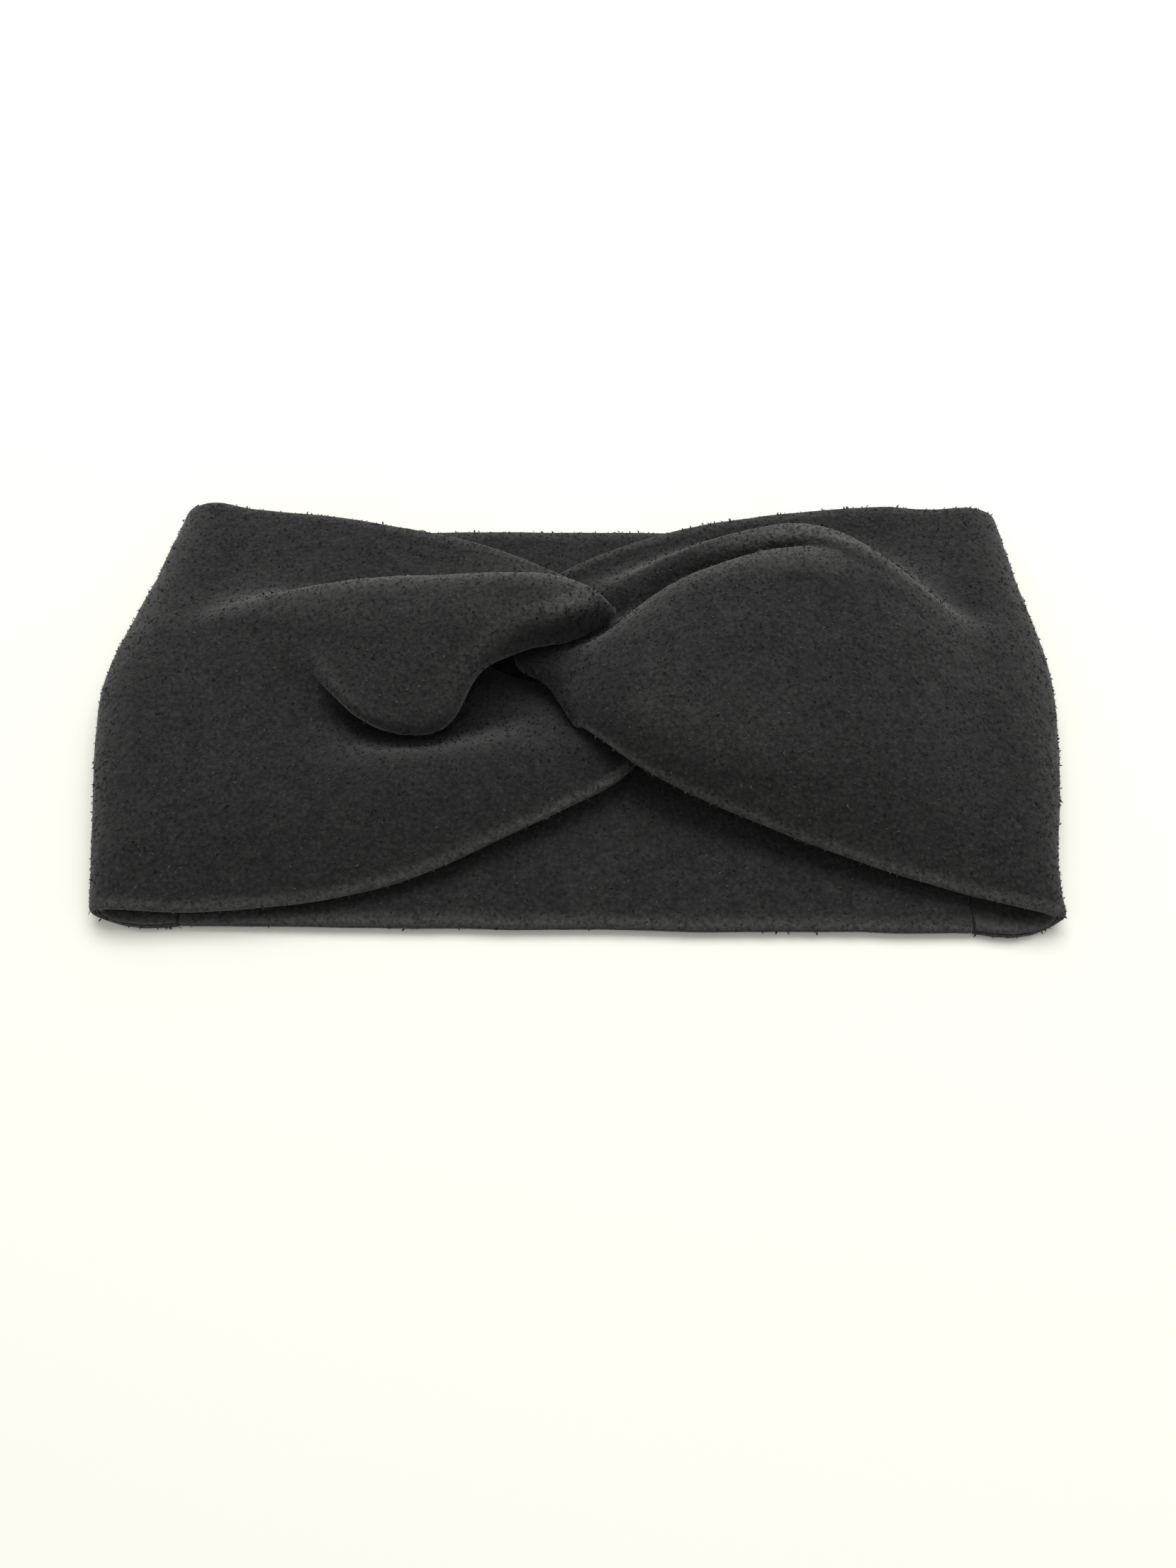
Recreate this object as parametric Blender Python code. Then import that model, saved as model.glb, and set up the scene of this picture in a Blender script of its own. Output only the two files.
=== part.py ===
"""Knotted headband lying flat: two front strips hooked into each other over a plain back panel.

X runs along the band, Y up its height and Z through the layers, in millimetres; every piece of
cloth is double, an outer and an inner layer sewn together along their long edges.
"""
import bpy
import bmesh
import numpy as np
from mathutils import Matrix

MM = 0.001

# cloth
LAYER = 1.7                 # thickness of one layer of fleece
LAYER_GAP = 0.4             # clear space between the two layers
EDGE_ROUND = 0.8            # how far a layer's rounded edge stands out past its middle line
REST = LAYER + LAYER_GAP / 2    # height of the middle of a doubled cloth that lies on a table

# back panel
BACK_BOTTOM = -62.0
BACK_TOP = 59.5
SEAM_X = 98.0               # the side seams sit on the underside, this far from the middle
SEAM_GAP = 2.2
UNDERLAP_X = 4.0            # flat run on the underside before the side fold turns up
FOLD_BULGE = 1.05           # side fold: how far it swells past a half circle

# thread
CORD_RADIUS = 0.3
CORD_SIDES = 6
CORD_OUT = 0.65             # edge seams: distance of the thread past the cloth's middle line
STRIP_SEAM_TAIL = 2         # edge seams of a strip end this many columns before its end
SEAM_CORD_INSET = 1.5       # side seams: stop short of the band's edges
KNOT_CORD_RADIUS = 0.45     # knot: several passes of thread in one line
KNOT_SEAM = ((3.6, -7.2, 10.6), (0.2, -1.8, 10.1), (-3.6, 2.6, 9.9))

# mesh density: columns between neighbouring stations of a strip, rows from edge to edge
STRIP_COLUMNS = (1, 1, 2, 2, 1, 1, 2, 3, 3, 3, 3, 2, 2, 1)
STRIP_ROWS = 24
BACK_COLUMNS = 9
BACK_ROWS = 5
CURVE_SAMPLES = 12          # fine points per control point when a curve is re-spaced

CLOTH_COLOUR = (0.040, 0.041, 0.042, 1.0)
INNER_COLOUR = (0.034, 0.035, 0.036, 1.0)
THREAD_COLOUR = (0.020, 0.020, 0.021, 1.0)

# Left strip, from the side fold to the knot. Each line is one crease or edge of the cloth.
# Near the knot the strip is folded in two: the lower half passes under the right strip, the
# upper half lies over it as a puffed lobe, and the hollow between them takes the right strip.
LEFT = (
    # bottom edge
    ((-115.5, -59.8, 7), (-101.5, -60.4, 6.6), (-85, -59.8, 6.5), (-68, -57.8, 6.7),
     (-51, -54.3, 7), (-36, -49.2, 7.7), (-22, -42.5, 8.6), (-9, -35.7, 9.2),
     (2, -29.5, 9.2), (12, -22.5, 8.5), (18, -14, 7.2)),
    # lower half, rolling gently
    ((-116.5, -45, 9.4), (-102, -45, 10.4), (-86, -44.5, 11.6), (-69, -43.5, 12.8),
     (-52, -41.5, 13.4), (-38, -38, 13.7), (-25, -33, 13.4), (-12, -27, 12.2),
     (-2, -22, 10.6), (8, -15, 8.7), (14, -8, 7.2)),
    # lip of the hollow
    ((-118.3, -28, 11.4), (-103, -28, 12.8), (-87, -27, 14.6), (-70, -25.5, 15.4),
     (-53, -24.2, 15.8), (-40, -23, 15.4), (-28, -20.3, 14), (-16, -16.5, 12),
     (-7, -12.5, 9.4), (2, -8, 7.7), (9, -3, 7)),
    # floor of the hollow, front
    ((-119.5, -18, 12.4), (-104, -17, 13.8), (-88, -15.5, 15), (-71, -15.5, 15.2),
     (-54, -16.5, 10.8), (-41, -16, 8.8), (-30, -13, 7.7), (-19, -10, 7.4),
     (-10, -6, 7.3), (-2, -3, 7.2), (4, 0, 7.1)),
    # floor of the hollow, back
    ((-120.3, -10, 12.6), (-104, -9, 14.4), (-88, -8.5, 15.5), (-71, -9.5, 15.2),
     (-54, -10, 9.6), (-42, -6.5, 8.2), (-33, -3.2, 7.6), (-27, -0.2, 7.4),
     (-23.5, 2.8, 7.4), (-21.3, 5.2, 7.4), (-20, 6.6, 7.4)),
    # back of the hollow
    ((-120.8, -3, 12.8), (-104, -2, 14.9), (-88, -2.5, 16), (-71, -4.4, 16.2),
     (-54, -5.5, 12.6), (-43, -2.2, 11.6), (-35.5, 3.2, 11.7), (-31, 6.2, 11.7),
     (-28.3, 8, 11.8), (-27, 9, 11.8), (-26.5, 9.5, 11.8)),
    # underside of the lobe
    ((-120.8, 3, 12.9), (-104, 4.5, 15.5), (-88, 2.5, 17), (-71, 0, 17.9),
     (-54, -7.4, 16.3), (-42, -9.8, 14.6), (-33.5, -5, 14.7), (-28.5, 3, 16),
     (-24.8, 7.4, 16.2), (-23, 9.8, 16.3), (-22, 11.2, 16.3)),
    # lower rim of the lobe
    ((-120.3, 9, 12.9), (-104, 9, 16), (-88, 7, 17.9), (-71, 3.5, 19.8),
     (-55, -11.4, 18.9), (-42, -15.3, 17.2), (-32.5, -11, 18), (-26.5, 1.5, 20.2),
     (-16.5, 8.5, 20.5), (-6.5, 12.5, 20), (-1, 14.5, 16.8)),
    # face of the lobe
    ((-119.5, 14, 12.8), (-104, 13, 16.2), (-88, 12.5, 18.8), (-71, 9.5, 22),
     (-55, -0.6, 23.8), (-42, -3.4, 24.2), (-33, 0.6, 25.4), (-24, 7.5, 26.9),
     (-13, 12.5, 26.5), (-2.5, 15.5, 23.5), (3, 17, 16.8)),
    # crest of the lobe
    ((-118.3, 19.5, 12.6), (-104, 16.5, 16.2), (-88, 17.8, 19.8), (-71, 18.8, 23.8),
     (-54, 17, 27), (-41, 15.5, 28.8), (-30, 16, 29.6), (-19, 17.5, 29.6),
     (-8, 19, 28.2), (2, 19.5, 24.5), (6.5, 19.5, 16.8)),
    # back of the crest
    ((-117, 25.5, 12.4), (-103.5, 21.5, 15), (-88, 22.8, 18), (-71, 24.3, 21.8),
     (-53, 25, 24.6), (-38.5, 24.5, 26.2), (-26, 24.5, 27), (-14, 25, 26.6),
     (-4, 25, 25.2), (4.5, 23, 21.8), (9, 21.5, 16.8)),
    # fold behind the crest
    ((-115.6, 32, 12.1), (-102.5, 28, 13.2), (-87.5, 28, 14.2), (-70.5, 27.4, 15.2),
     (-52, 26, 16.4), (-37.5, 25.6, 17.8), (-25, 25.6, 18.6), (-13, 26, 19),
     (-4, 26, 18.6), (4, 24.6, 17.4), (8.4, 23.2, 16.2)),
    # upper left panel
    ((-112.8, 46.5, 11.4), (-100, 43, 11.8), (-84.5, 41.5, 11.8), (-67.5, 38.5, 11.9),
     (-50, 35.5, 12.3), (-35.5, 33.6, 13.6), (-23, 33, 15.2), (-12, 31.2, 16),
     (-3.5, 29.2, 16.2), (3.2, 27.4, 16), (6.6, 26, 16)),
    # top edge
    ((-110.6, 62.3, 10.6), (-98, 60.9, 10.8), (-82, 58.7, 11), (-65, 56.2, 11.2),
     (-48, 52.6, 11.6), (-34, 48.4, 12.4), (-22, 43.4, 13.2), (-12, 38, 14),
     (-4, 33.2, 14.6), (1.2, 30.6, 15.4), (4, 29.2, 16)),
)

# Right strip, from the side fold to the knot: a broad lobe over the left strip's lower half,
# with one narrow pleat behind it, running under the left strip's upper half.
RIGHT = (
    # bottom edge
    ((116, -58.8, 7), (102, -55.4, 7.1), (87, -51, 7.8), (72, -46.4, 9),
     (57, -41, 10.4), (43, -35.5, 12), (29, -29.4, 13.8), (17.5, -23.4, 15.2),
     (9, -17.2, 15.2), (3, -12.1, 13.4), (0.5, -9.6, 11.6)),
    # lobe, low
    ((114.8, -46, 9.4), (103, -43, 11.6), (89, -39, 14.8), (74, -34.5, 17.7),
     (59, -30, 20), (44, -25.5, 21.8), (30, -20.5, 22.8), (17.5, -15, 22.6),
     (7.5, -9, 19.4), (0.8, -5.4, 14.4), (-3.8, -4, 11.2)),
    # lobe, middle
    ((116.3, -31, 11.2), (104, -28, 14.4), (90, -24, 19.5), (75, -19, 23.3),
     (60, -15, 25.6), (45, -11.5, 27), (31, -8, 27.2), (18, -4, 25.6),
     (7.5, -0.3, 20.8), (0, 0.8, 15), (-8.6, 2, 11.5)),
    # lobe, high
    ((118, -15, 12.2), (105, -11, 16.2), (91, -6, 21), (76, 0, 25.3),
     (61, 4, 27.8), (46, 6, 28.8), (32, 6.5, 28.4), (19.5, 7, 26.2),
     (9.5, 7.8, 21.6), (0.5, 7.8, 15), (-15.5, 7, 11.7)),
    # top of the lobe
    ((119.3, 0, 12.5), (105.5, 3, 16.8), (91.5, 9.5, 22), (76.5, 17.5, 26.7),
     (61, 21, 28.8), (46, 20.5, 29.2), (32, 18, 27.8), (20.5, 16, 25),
     (13, 15, 20.6), (5.5, 13.6, 13.8), (-17, 10.6, 11.5)),
    # front rim of the pleat
    ((119.2, 6, 12.6), (105.5, 8, 16.8), (91.5, 14.5, 22), (76, 23.5, 27),
     (60, 30.5, 28.8), (44.5, 29.8, 27.6), (30.5, 26, 25.2), (21, 22, 22),
     (15, 19.3, 17.6), (8, 17.4, 12.4), (-15, 14, 11.2)),
    # back of that rim
    ((119.1, 9, 12.5), (105.5, 10.5, 16.8), (91.5, 17.2, 22.2), (76, 27.2, 27.2),
     (60, 34, 26.4), (44.8, 32.8, 23.6), (31, 29, 21), (21.5, 25, 17.8),
     (15.5, 22, 14.4), (7.5, 20, 11), (-11, 17.4, 10.4)),
    # bottom of the pleat
    ((118.9, 12, 12.4), (105.5, 12.8, 16.6), (91.5, 20, 22.2), (76, 30.4, 27),
     (60.3, 36.8, 24.4), (45.2, 35.2, 19), (31.5, 31.8, 15.8), (21.5, 27.8, 13.4),
     (14.5, 24.8, 11.6), (5.5, 22.6, 10.2), (-11, 20.2, 9.9)),
    # rear rim of the pleat
    ((118.5, 16, 12.3), (105.5, 15.5, 16.2), (91.5, 23, 21.8), (76.3, 34, 26.6),
     (60.5, 41, 26.4), (46, 41.4, 23.4), (32, 39.3, 19.8), (20, 35.8, 16),
     (10, 32, 12.2), (1, 28.4, 10), (-11, 23.8, 9)),
    # back of that rim
    ((117.8, 23, 12), (105.3, 20, 14.6), (91.8, 26.8, 18.8), (77.2, 37.8, 22),
     (61.3, 45, 20.6), (46.2, 45.6, 18), (32, 43.8, 14.6), (19.5, 40.3, 11.8),
     (9, 36.5, 10), (0, 32.6, 8.9), (-11, 27.6, 8.3)),
    # upper right panel
    ((116, 38, 11.6), (104.5, 33.5, 12.4), (91.5, 37, 13.4), (77.3, 43.5, 14),
     (62, 49.8, 13.2), (46, 49.7, 12), (31, 47.8, 10.6), (18, 44.6, 9.4),
     (7.5, 40.8, 8.4), (-1.5, 36.3, 7.8), (-11, 31.2, 7.4)),
    # top edge
    ((113.8, 61.3, 10.6), (102.5, 61.1, 11), (89.5, 60.8, 11.8), (76, 60, 12.2),
     (61.5, 58.6, 12), (46, 56.6, 11.4), (31, 54, 10.6), (18, 50.6, 9.6),
     (7, 46.4, 8.8), (-3, 41.3, 8), (-12, 35.3, 7.4)),
)


def spline(knots, points, at):
    """Natural cubic spline through points (n, ...) at knots, read at the positions `at`."""
    count = len(knots)
    step = np.diff(knots)
    system = np.eye(count)
    right_side = np.zeros((count, points[0].size))
    flat = points.reshape(count, -1)
    for i in range(1, count - 1):
        system[i, i - 1:i + 2] = step[i - 1], 2 * (step[i - 1] + step[i]), step[i]
        rise = (flat[i + 1] - flat[i]) / step[i]
        fall = (flat[i] - flat[i - 1]) / step[i - 1]
        right_side[i] = 6 * (rise - fall)
    bend = np.linalg.solve(system, right_side)
    span = np.clip(np.searchsorted(knots, at, side="right") - 1, 0, count - 2)
    width = step[span][:, None]
    a = (knots[span + 1] - at)[:, None] / width
    b = 1 - a
    curve = a * flat[span] + b * flat[span + 1]
    curve += ((a ** 3 - a) * bend[span] + (b ** 3 - b) * bend[span + 1]) * width ** 2 / 6
    return curve.reshape((len(at),) + points.shape[1:])


def lengths(points):
    """Running length along a polyline."""
    return np.concatenate([[0.0], np.cumsum(np.linalg.norm(np.diff(points, axis=0), axis=1))])


def evenly(points, count):
    """Points at equal spacing along the smooth curve through the given points."""
    knots = lengths(points)
    fine = spline(knots, points, np.linspace(0, knots[-1], CURVE_SAMPLES * len(points)))
    run = lengths(fine)
    at = np.linspace(0, run[-1], count)
    return np.stack([np.interp(at, run, fine[:, axis]) for axis in range(3)], axis=1)


def with_side_fold(line):
    """Lead a strip's line round the side fold and back along the underside to the side seam."""
    x, y, z = line[0]
    side = np.sign(x)
    low, high = (LEFT if side < 0 else RIGHT)[0][0][1], (LEFT if side < 0 else RIGHT)[-1][0][1]
    under_y = BACK_BOTTOM + (y - low) / (high - low) * (BACK_TOP - BACK_BOTTOM)
    radius = (z - REST) / 2
    seam = (side * (SEAM_X + SEAM_GAP / 2), under_y, REST)
    flat = (x - side * UNDERLAP_X, under_y, REST)
    under = (x, (y + under_y) / 2, REST)
    fold = (x + side * radius * FOLD_BULGE, y, REST + radius)
    return [seam, flat, under, fold] + list(line)


def strip_middle(lines):
    """Middle surface of a doubled strip as a grid (columns along it, rows across it)."""
    lines = np.array([with_side_fold(line) for line in lines])
    spacing = np.linalg.norm(np.diff(lines, axis=1), axis=2).mean(axis=0)
    knots = np.concatenate([[0.0], np.cumsum(spacing)])
    at = [knots[:1]]
    for i, columns in enumerate(STRIP_COLUMNS):
        at.append(np.linspace(knots[i], knots[i + 1], columns + 1)[1:])
    rails = spline(knots, lines.transpose(1, 0, 2), np.concatenate(at))
    grid = np.stack([evenly(rail, STRIP_ROWS) for rail in rails])
    grid[..., 2] = np.maximum(grid[..., 2], REST)
    return grid


def back_middle():
    """Middle surface of the back panel: a flat rectangle between the side seams."""
    half = SEAM_X - SEAM_GAP / 2
    x = np.linspace(half, -half, BACK_COLUMNS)
    y = np.linspace(BACK_BOTTOM, BACK_TOP, BACK_ROWS)
    return np.stack(list(np.meshgrid(x, y, indexing="ij")) + [np.full((len(x), len(y)), REST)], axis=-1)


def unit(vectors):
    return vectors / np.linalg.norm(vectors, axis=-1, keepdims=True)


def frames(grid):
    """Directions along, across and out of a grid; the last one points to the band's outside."""
    along = unit(np.gradient(grid, axis=0))
    across = unit(np.gradient(grid, axis=1))
    outward = unit(np.cross(along, across))
    if grid[0, 0, 0] > 0 and grid[-1, 0, 0] < grid[0, 0, 0]:
        outward = -outward
    return along, across, outward


def border(grid):
    """Indices round the rim of a grid, and the direction that leads off the cloth at each."""
    columns, rows = grid.shape[:2]
    along, across, _ = frames(grid)
    loop = [(i, 0) for i in range(columns - 1)]
    loop += [(columns - 1, j) for j in range(rows - 1)]
    loop += [(i, rows - 1) for i in range(columns - 1, 0, -1)]
    loop += [(0, j) for j in range(rows - 1, 0, -1)]
    off = []
    for i, j in loop:
        way = np.zeros(3)
        way += along[i, j] * ((i == columns - 1) - (i == 0))
        way += across[i, j] * ((j == rows - 1) - (j == 0))
        off.append(way)
    return loop, unit(np.array(off))


def add_object(name, vertices, faces, material):
    """Closed mesh from millimetre coordinates, normals outward, smooth shaded."""
    mesh = bpy.data.meshes.new(name)
    mesh.from_pydata((np.asarray(vertices) * MM).tolist(), [], faces)
    body = bmesh.new()
    body.from_mesh(mesh)
    bmesh.ops.recalc_face_normals(body, faces=body.faces)
    body.to_mesh(mesh)
    body.free()
    mesh.shade_smooth()
    mesh.materials.append(material)
    part = bpy.data.objects.new(name, mesh)
    bpy.context.scene.collection.objects.link(part)
    return part


def add_layer(name, grid, side, material):
    """One layer of a doubled cloth: side +1 lies outside the middle surface, -1 inside."""
    columns, rows = grid.shape[:2]
    outward = frames(grid)[2] * side
    near = grid + outward * (LAYER_GAP / 2)
    far = grid + outward * (LAYER_GAP / 2 + LAYER)
    loop, off = border(grid)
    rim = [(near[at] + far[at]) / 2 + way * EDGE_ROUND for at, way in zip(loop, off)]
    size = columns * rows
    faces = []
    for i in range(columns - 1):
        for j in range(rows - 1):
            a, b = i * rows + j, (i + 1) * rows + j
            faces += [(a, b, b + 1), (a, b + 1, a + 1)]
            faces += [(size + a, size + b + 1, size + b), (size + a, size + a + 1, size + b + 1)]
    for k, (i, j) in enumerate(loop):
        following = (k + 1) % len(loop)
        a, b = i * rows + j, loop[following][0] * rows + loop[following][1]
        c, d = 2 * size + k, 2 * size + following
        faces += [(b, a, c), (b, c, d), (size + a, size + b, d), (size + a, d, c)]
    vertices = np.concatenate([near.reshape(-1, 3), far.reshape(-1, 3), rim])
    return add_object(name, vertices, faces, material)


def add_cord(name, path, first, second, radius, material):
    """Thread of round section along a path; first and second span its cross-section."""
    turn = np.arange(CORD_SIDES) * 2 * np.pi / CORD_SIDES
    ring = np.cos(turn)[None, :, None] * first[:, None] + np.sin(turn)[None, :, None] * second[:, None]
    vertices = (path[:, None] + radius * ring).reshape(-1, 3)
    faces = [tuple(range(CORD_SIDES)), tuple(range(len(vertices) - CORD_SIDES, len(vertices)))]
    for i in range(len(path) - 1):
        for j in range(CORD_SIDES):
            a, b = i * CORD_SIDES + j, i * CORD_SIDES + (j + 1) % CORD_SIDES
            faces += [(a, b, b + CORD_SIDES), (a, b + CORD_SIDES, a + CORD_SIDES)]
    return add_object(name, vertices, faces, material)


def add_edge_seam(name, grid, row, tail, material):
    """Thread in the groove between the two layers, along the first (0) or last (-1) row."""
    _, across, outward = frames(grid)
    columns = slice(0, len(grid) - tail)
    off = across[columns, row] * (1 if row else -1)
    path = grid[columns, row] + off * CORD_OUT
    return add_cord(name, path, off, outward[columns, row], CORD_RADIUS, material)


def add_side_seam(name, x, material):
    """Thread down the groove where a strip meets the back panel."""
    y = np.linspace(BACK_BOTTOM + SEAM_CORD_INSET, BACK_TOP - SEAM_CORD_INSET, BACK_ROWS)
    path = np.stack([np.full_like(y, x), y, np.full_like(y, REST)], axis=1)
    first = np.tile([1.0, 0.0, 0.0], (len(y), 1))
    second = np.tile([0.0, 0.0, 1.0], (len(y), 1))
    return add_cord(name, path, first, second, CORD_RADIUS, material)


def add_knot_seam(name, material):
    """Thread that holds the right strip's end down on the left strip, inside the knot."""
    path = evenly(np.array(KNOT_SEAM), BACK_ROWS)
    along = unit(np.gradient(path, axis=0))
    first = unit(np.cross(along, [0.0, 0.0, 1.0]))
    return add_cord(name, path, first, np.cross(first, along), KNOT_CORD_RADIUS, material)


def make_material(name, colour, roughness):
    material = bpy.data.materials.new(name)
    material.use_nodes = True
    surface = material.node_tree.nodes["Principled BSDF"]
    surface.inputs["Base Color"].default_value = colour
    surface.inputs["Roughness"].default_value = roughness
    surface.inputs["Metallic"].default_value = 0.0
    return material


def centre_on_origin():
    """Put the origin under the middle of the band, on the table."""
    meshes = [part.data for part in bpy.data.objects]
    points = np.array([vertex.co for mesh in meshes for vertex in mesh.vertices])
    low, high = points.min(axis=0), points.max(axis=0)
    middle = (low + high) / 2
    for mesh in meshes:
        mesh.transform(Matrix.Translation((-middle[0], -middle[1], -low[2])))


def build():
    for old in list(bpy.data.objects):
        bpy.data.objects.remove(old)
    outer = make_material("charcoal_fleece_outer", CLOTH_COLOUR, 0.95)
    inner = make_material("charcoal_fleece_inner", INNER_COLOUR, 0.95)
    thread = make_material("charcoal_thread", THREAD_COLOUR, 0.8)
    panels = {
        "left_strip": strip_middle(LEFT),
        "right_strip": strip_middle(RIGHT),
        "back_panel": back_middle(),
    }
    for name, grid in panels.items():
        is_back = name == "back_panel"
        outside = -1 if is_back else 1
        tail = 0 if is_back else STRIP_SEAM_TAIL
        add_layer(name + "_outer", grid, outside, outer)
        add_layer(name + "_inner", grid, -outside, inner)
        add_edge_seam(name + "_bottom_seam", grid, 0, tail, thread)
        add_edge_seam(name + "_top_seam", grid, -1, tail, thread)
    add_side_seam("left_side_seam", -SEAM_X, thread)
    add_side_seam("right_side_seam", SEAM_X, thread)
    add_knot_seam("knot_seam", thread)
    centre_on_origin()


build()
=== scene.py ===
"""Knotted headband, looks: doubled fleece strips hooked into a soft knot, lying flat on white.

The cloth's middle surfaces are in millimetres, in the same frame as the CAD solids.
"""

import bpy
import numpy as np
from mathutils import Matrix, Vector, noise
from mathutils.bvhtree import BVHTree


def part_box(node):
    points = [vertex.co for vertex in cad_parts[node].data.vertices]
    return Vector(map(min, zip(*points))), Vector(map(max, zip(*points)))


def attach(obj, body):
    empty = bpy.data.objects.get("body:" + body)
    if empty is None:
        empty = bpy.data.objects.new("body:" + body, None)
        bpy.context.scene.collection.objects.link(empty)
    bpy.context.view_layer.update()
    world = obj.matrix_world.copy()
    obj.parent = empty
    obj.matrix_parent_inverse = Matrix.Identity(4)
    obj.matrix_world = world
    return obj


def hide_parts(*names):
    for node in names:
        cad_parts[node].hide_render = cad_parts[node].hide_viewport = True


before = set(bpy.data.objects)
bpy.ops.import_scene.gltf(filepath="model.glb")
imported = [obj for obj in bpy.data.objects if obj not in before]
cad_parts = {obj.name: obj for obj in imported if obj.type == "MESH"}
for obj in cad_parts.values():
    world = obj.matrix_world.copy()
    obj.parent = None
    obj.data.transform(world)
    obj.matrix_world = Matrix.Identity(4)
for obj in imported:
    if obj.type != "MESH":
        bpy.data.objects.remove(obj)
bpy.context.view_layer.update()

MM = 0.001
SEED = 7

# cloth
LAYER = 1.65                # thickness of one layer of fleece
LAYER_GAP = 0.3             # clear space between the two layers
OUTER_ROUND = 1.3           # how far the rolled long edge of an outside layer stands out
INNER_ROUND = 1.1
END_ROUND = 0.45            # the same where a panel ends in a seam
RIM_STEPS = 6               # faces round a rolled edge
REST = 1.9                  # height of the middle of a doubled cloth that lies on a table
LOFT_WAVE = 2.6             # the pile's thickness comes and goes over this distance
LOFT_DEPTH = 0.16
RELAX_RISE = 8.0            # cloth on the table is flat; above this height it is free to undulate
RELAX_WAVES = ((27.0, 0.45), (11.0, 0.2))
RIDGE_RADIUS = 4.5          # ridges rounder than this get less painted highlight
PROUD = (20.5, 27.5)        # painted highlight shows on what stands higher than this
EDGE_HIGHLIGHT = 0.42            # painted highlight along the long edges, fading out over EDGE_WIDTH
EDGE_WIDTH = 1.6
SKY_RAYS = 26               # directions that test how far a fold closes the cloth in
SKY_REACH = 40.0
SKY_LIFT = 0.2              # the test starts this far off the cloth
SKY_BLUR = 3
KNOT_SHADE = 8.0            # a strip's end dives into the knot, and painted shade darkens it over this distance
PAINTED_SHADE_RANGE = (0.12, 0.72)
PAINTED_SHADE_DEPTH = 0.48         # painted shade: share of the colour lost deep in a fold

# pile that stands off the cloth: fine loose hairs, and broader felted locks that lie over
HAIRS = ((0.35, 0.95), (0.3, 1.25), 0.08)       # length, lean from upright, width
LOCKS = ((0.7, 1.5), (0.9, 1.45), 0.6)
SEEN_NAP = (30000, 22000)   # hairs and locks on a face that shows
HIDDEN_NAP = (4000, 2000)
BLADE_WAIST = 0.45          # how far along its length a blade is widest
BLADE_ROOT = 0.12           # how deep in the cloth it starts
BLADE_TONE = (1.85, 0.65)   # mean and spread of a blade's place in NAP_COLOURS
HIGHLIGHT_TONE = 1.6             # painted highlight: blades on ridges and edges are lighter
SHADE_TONE = 2.6             # painted shade: blades in closed folds are darker
LEAST_PAINTED_SHADE = 0.15         # every blade gets at least this much painted shade

# back panel
BACK_BOTTOM = -62.0
BACK_TOP = 59.5
SEAM_X = 98.0
SEAM_GAP = 1.1              # between the middle surfaces of the panels that meet there
UNDERLAP_X = 4.0
FOLD_BULGE = 1.05

# thread
CORD_RADIUS = 0.3
CORD_SIDES = 8
CORD_STEP = 0.5
CORD_OUT = 0.95             # how far the thread lies outside the cloth's middle edge
CORD_REFERENCE = (0.3, 0.2, 0.93)   # a direction that no thread follows
CORD_TWIST = 2.4            # one turn of the ply in this length
CORD_PLY = 0.3              # depth of the ply's grooves, as a share of the radius
SEAM_CORD_INSET = -0.6      # the side seam's thread passes the long edges by this much
KNOT_CORD_RADIUS = 0.45     # the tacking thread in the knot is heavier
KNOT_SEAM = ((3.6, -7.2, 10.6), (0.2, -1.8, 10.1), (-3.6, 2.6, 9.9))

# mesh density
STRIP_COLUMNS = (3, 3, 8, 10, 9, 10, 12, 14, 14, 12, 12, 10, 10, 6)
STRIP_ROWS = 132
STRIP_SEAM_TAIL = 12
BACK_COLUMNS = 130
BACK_ROWS = 81
CURVE_SAMPLES = 24

# finishes
FLEECE_DARK = (0.0132, 0.0134, 0.0132, 1.0)
FLEECE_LIGHT = (0.0268, 0.0268, 0.0259, 1.0)
# pale grey that the painted highlight on ridges and edges and the painted sheen at grazing angles blend
# towards
FLEECE_PAINTED_HIGHLIGHT = (0.105, 0.105, 0.102, 1.0)
LINING_DARK = (0.0150, 0.0152, 0.0150, 1.0)
LINING_LIGHT = (0.0280, 0.0280, 0.0270, 1.0)
# greys for the pile, darkest first; the darker ones also carry painted shade, the lighter ones painted
# highlight
NAP_COLOURS = ((0.0080, 0.0081, 0.0080, 1.0), (0.0165, 0.0166, 0.0162, 1.0),
               (0.0265, 0.0265, 0.0257, 1.0), (0.0500, 0.0500, 0.0485, 1.0))
THREAD_DARK = (0.012, 0.012, 0.013, 1.0)
THREAD_LIGHT = (0.030, 0.030, 0.031, 1.0)
SHEEN = 0.09

# studio and camera
FLOOR = 1500.0
FLOOR_COLOUR = (0.86, 0.857, 0.78, 1.0)
SKY_COLOUR = (1.0, 1.0, 1.0, 1.0)
SKY_POWER = 0.63
LIGHTS = (
    ("back_softbox", (0.12, 0.55, 1.1), (1.2, 0.7), 13.0, (1.0, 1.0, 1.0)),
)
CAMERA_FILM = 36.0
CAMERA_LENS = 27.03
CAMERA_PITCH = 62.02
CAMERA_YAW = -2.56
CAMERA_ROLL = -1.84
CAMERA_PLACE = (9.5, -167.8, 275.4)

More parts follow.
